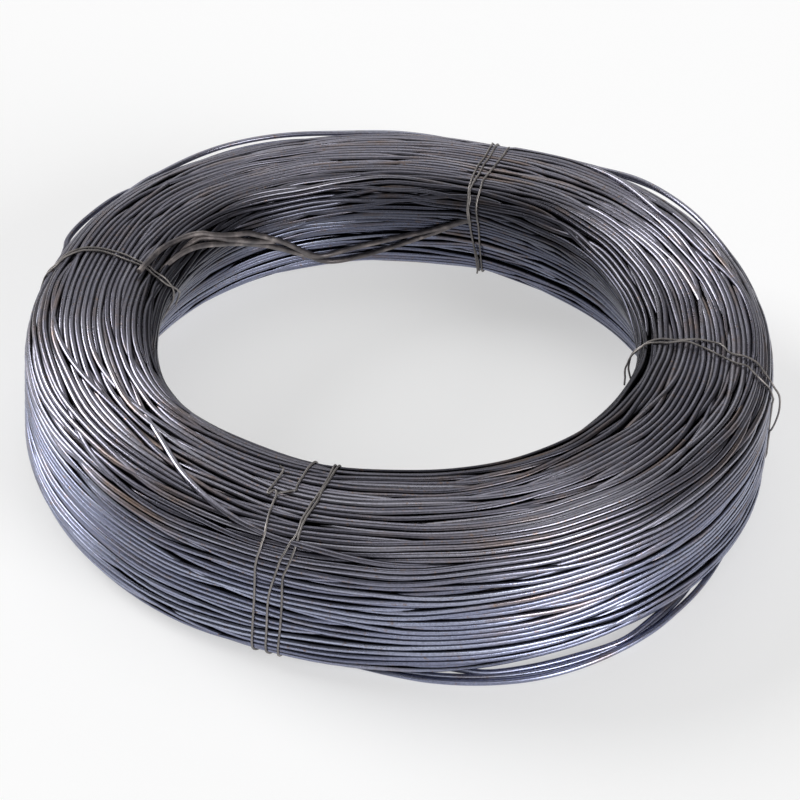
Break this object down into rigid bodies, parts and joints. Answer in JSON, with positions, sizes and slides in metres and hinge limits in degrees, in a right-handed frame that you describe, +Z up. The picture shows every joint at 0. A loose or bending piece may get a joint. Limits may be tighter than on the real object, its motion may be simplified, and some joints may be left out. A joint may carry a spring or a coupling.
{
  "type": "coil of wire rod",
  "caption": "Ring-shaped coil of dark annealed steel wire rod lying flat, its turns showing all round, bound by thin hooked tie wires, with the rod's free ends laid along the eye.",
  "frame": {"origin": "on the floor at the middle of the coil's eye", "axes": "+Z up along the eye's axis, +X to the right and -Y towards the viewer in the picture"},
  "size_m": [0.6325, 0.6314, 0.1294],
  "materials": {
    "wire": "dark annealed steel with a blue-grey oxide skin, rubbed bright in places and lightly rusted",
    "tie": "thin dull annealed tie wire, lightly rusted"
  },
  "bodies": {
    "root": {"coil": "wire", "tie_front": "tie", "tie_right": "tie", "tie_back": "tie", "tie_left": "tie"}
  },
  "joints": []
}
